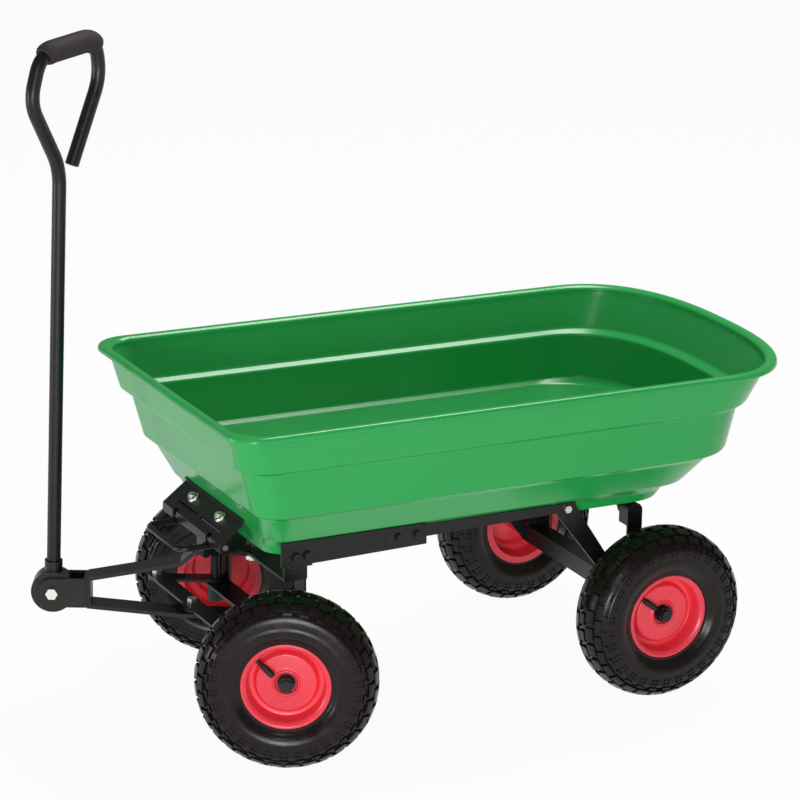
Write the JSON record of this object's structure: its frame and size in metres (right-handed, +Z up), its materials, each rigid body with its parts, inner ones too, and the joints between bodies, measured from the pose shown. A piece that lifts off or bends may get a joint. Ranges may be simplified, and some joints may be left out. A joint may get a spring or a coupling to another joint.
{
  "type": "tipping dump cart",
  "caption": "Four-wheeled garden dump cart with a stepped plastic tub that tips to the rear, parallel-link steering, a front release loop and a folding pull handle.",
  "frame": {"origin": "on the ground under the middle of the rear axle", "axes": "+X forward towards the pull handle, +Y to the cart's left, +Z up"},
  "size_m": [1.1096, 0.6004, 0.993],
  "materials": {
    "tyre": "moulded rubber with a blocky tread",
    "inner_tube": "butyl rubber",
    "rim": "gloss red powder coat",
    "bush": "natural nylon",
    "zinc": "bright zinc plate",
    "tub": "injection moulded polypropylene, satin to gloss",
    "grip": "soft foam rubber sleeve",
    "frame": "gloss black powder coat"
  },
  "bodies": {
    "chassis": {"front_rail_left": "frame", "front_rail_right": "frame", "rear_rail_left": "frame", "rear_rail_right": "frame", "rail_joint_bolts": "zinc", "front_frame": "frame", "front_frame_bolts": "zinc", "latch_catch": "frame", "tongue_pivot_bolts": "zinc", "rear_frame": "frame", "rear_axle": "zinc", "rear_axle_nuts": "zinc", "brace_left": "frame", "brace_right": "frame", "brace_bolts": "zinc", "hinge_pins": "zinc"},
    "tub": {"tub": "tub", "hinge_brackets": "frame", "hinge_bracket_bolts": "zinc", "latch_bracket": "frame", "latch_bracket_bolts": "zinc", "latch_pin": "zinc"},
    "latch": {"latch_loop": "frame"},
    "tongue": {"tongue": "frame", "handle_bracket": "frame", "handle_pivot_bolt": "zinc"},
    "handle": {"handle_drum": "frame", "handle_tube": "frame", "handle_grip": "grip"},
    "knuckle_left": {"knuckle_left": "frame", "knuckle_nut_left": "zinc"},
    "knuckle_right": {"knuckle_right": "frame", "knuckle_nut_right": "zinc"},
    "tie_rod": {"tie_rod": "frame", "tie_rod_bolts": "zinc"},
    "wheel_front_left": {"tyre_front_left": "tyre", "rim_front_left": "rim", "inner_tube_front_left": "inner_tube", "bushes_front_left": "bush"},
    "wheel_front_right": {"tyre_front_right": "tyre", "rim_front_right": "rim", "inner_tube_front_right": "inner_tube", "bushes_front_right": "bush"},
    "wheel_rear_left": {"tyre_rear_left": "tyre", "rim_rear_left": "rim", "inner_tube_rear_left": "inner_tube", "bushes_rear_left": "bush"},
    "wheel_rear_right": {"tyre_rear_right": "tyre", "rim_rear_right": "rim", "inner_tube_rear_right": "inner_tube", "bushes_rear_right": "bush"}
  },
  "joints": [
    {"name": "tub_tip", "type": "hinge", "parent": "chassis", "child": "tub", "pos_m": [0, 0, 0.262], "axis": [0, -1, 0], "range_deg": [0, 60]},
    {"name": "latch_release", "type": "hinge", "parent": "tub", "child": "latch", "pos_m": [0.63505, 0, 0.28364], "axis": [0, -1, 0], "range_deg": [0, 20], "stiffness_Nm_per_rad": 0.5, "springref_deg": -20.05},
    {"name": "tongue_steer", "type": "hinge", "parent": "chassis", "child": "tongue", "pos_m": [0.558, 0, 0.2], "axis": [0, 0, 1], "range_deg": [-6.5, 63.5]},
    {"name": "knuckle_left_steer", "type": "hinge", "parent": "chassis", "child": "knuckle_left", "pos_m": [0.558, 0.127, 0.18], "axis": [0, 0, 1], "range_deg": [-6.5, 63.5]},
    {"name": "knuckle_right_steer", "type": "hinge", "parent": "chassis", "child": "knuckle_right", "pos_m": [0.558, -0.127, 0.18], "axis": [0, 0, 1], "range_deg": [-6.5, 63.5]},
    {"name": "tie_rod_swing", "type": "hinge", "parent": "tongue", "child": "tie_rod", "pos_m": [0.63534, -0.04199, 0.159], "axis": [0, 0, 1], "range_deg": [-63.5, 6.5]},
    {"name": "handle_fold", "type": "hinge", "parent": "tongue", "child": "handle", "pos_m": [0.81286, -0.13838, 0.178], "axis": [0.4772, 0.8788, 0], "range_deg": [0, 95]},
    {"name": "wheel_front_left_spin", "type": "hinge", "parent": "knuckle_left", "child": "wheel_front_left", "pos_m": [0.60476, 0.21312, 0.13], "axis": [0.4772, 0.8788, 0], "continuous": true},
    {"name": "wheel_rear_left_spin", "type": "hinge", "parent": "chassis", "child": "wheel_rear_left", "pos_m": [0, 0.2175, 0.13], "axis": [0, 1, 0], "continuous": true},
    {"name": "wheel_front_right_spin", "type": "hinge", "parent": "knuckle_right", "child": "wheel_front_right", "pos_m": [0.51124, -0.21312, 0.13], "axis": [0.4772, 0.8788, 0], "continuous": true},
    {"name": "wheel_rear_right_spin", "type": "hinge", "parent": "chassis", "child": "wheel_rear_right", "pos_m": [0, -0.2175, 0.13], "axis": [0, 1, 0], "continuous": true}
  ],
  "couplings": [
    {"joint": "knuckle_left_steer", "follows": "tongue_steer", "ratio": 1},
    {"joint": "knuckle_right_steer", "follows": "tongue_steer", "ratio": 1},
    {"joint": "tie_rod_swing", "follows": "tongue_steer", "ratio": -1}
  ]
}
